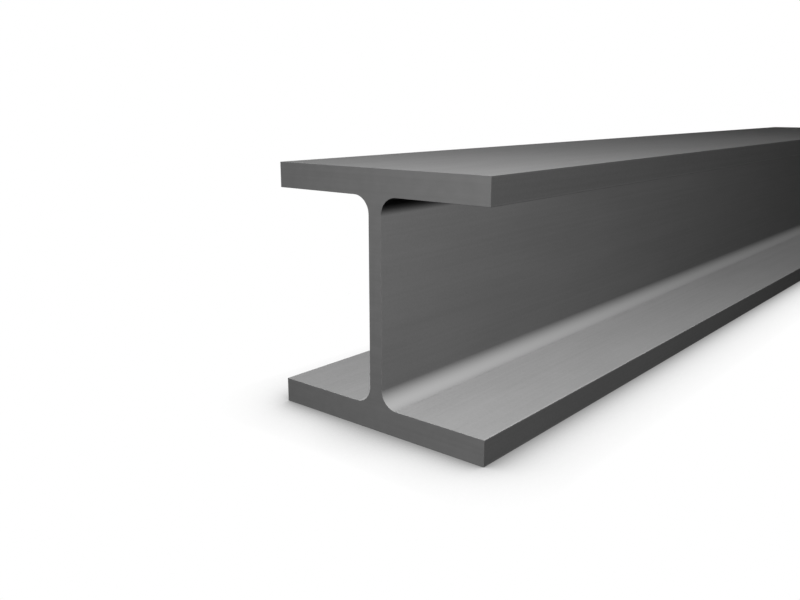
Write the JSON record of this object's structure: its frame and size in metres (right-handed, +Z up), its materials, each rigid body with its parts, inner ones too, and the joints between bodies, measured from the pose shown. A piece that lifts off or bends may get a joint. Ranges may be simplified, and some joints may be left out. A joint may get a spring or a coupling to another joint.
{
  "type": "steel h-beam",
  "caption": "Short length of hot-rolled steel H beam with parallel flanges, filleted web roots and square sawn ends, lying upright on a flange.",
  "frame": {"origin": "middle of the bottom flange's underside, halfway along the beam", "axes": "+Z up along the web, out of the top flange; +Y along the beam, away from the end that the picture shows nearest; +X across the flanges"},
  "size_m": [0.1, 0.65, 0.1],
  "materials": {
    "mill_steel": "matte"
  },
  "bodies": {
    "root": {"h_beam": "mill_steel"}
  },
  "joints": []
}
